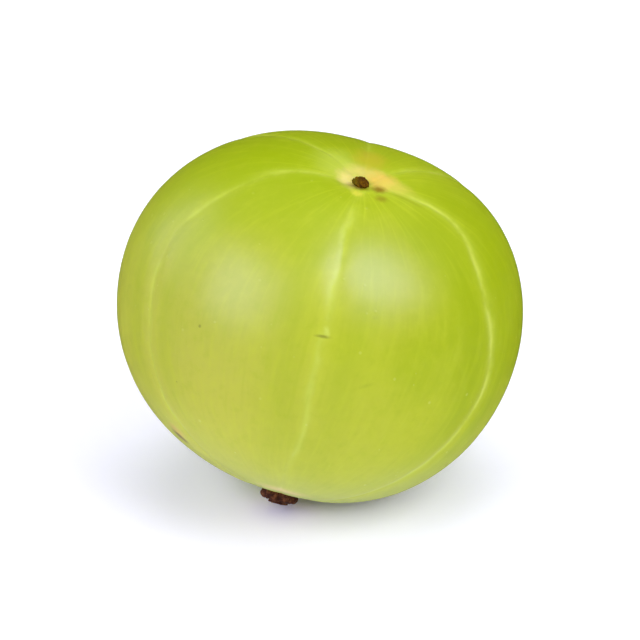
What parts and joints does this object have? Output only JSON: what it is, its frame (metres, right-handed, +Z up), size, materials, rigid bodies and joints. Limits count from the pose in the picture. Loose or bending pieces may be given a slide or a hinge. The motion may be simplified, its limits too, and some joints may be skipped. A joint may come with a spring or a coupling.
{
  "type": "indian gooseberry",
  "caption": "Round green fruit, a little flattened, with shallow seams from end to end, a dried style remnant on top and a stalk stub below, resting on a small flat spot.",
  "frame": {"origin": "middle of the fruit's footprint, on the surface that it rests on", "axes": "+Z up as it rests, with the style end on top leaning towards +X, and -Y the side with the middle seam, as seen from the front"},
  "size_m": [0.0382, 0.0378, 0.0334],
  "materials": {
    "green_skin": "satin, waxy, slightly translucent yellow-green fruit skin with paler seams",
    "dried_style": "matte, dried dark brown plant tissue",
    "dried_stalk": "matte, dried dark red-brown plant tissue"
  },
  "bodies": {
    "root": {"fruit": "green_skin", "style_tip": "dried_style", "stalk_stub": "dried_stalk"}
  },
  "joints": []
}
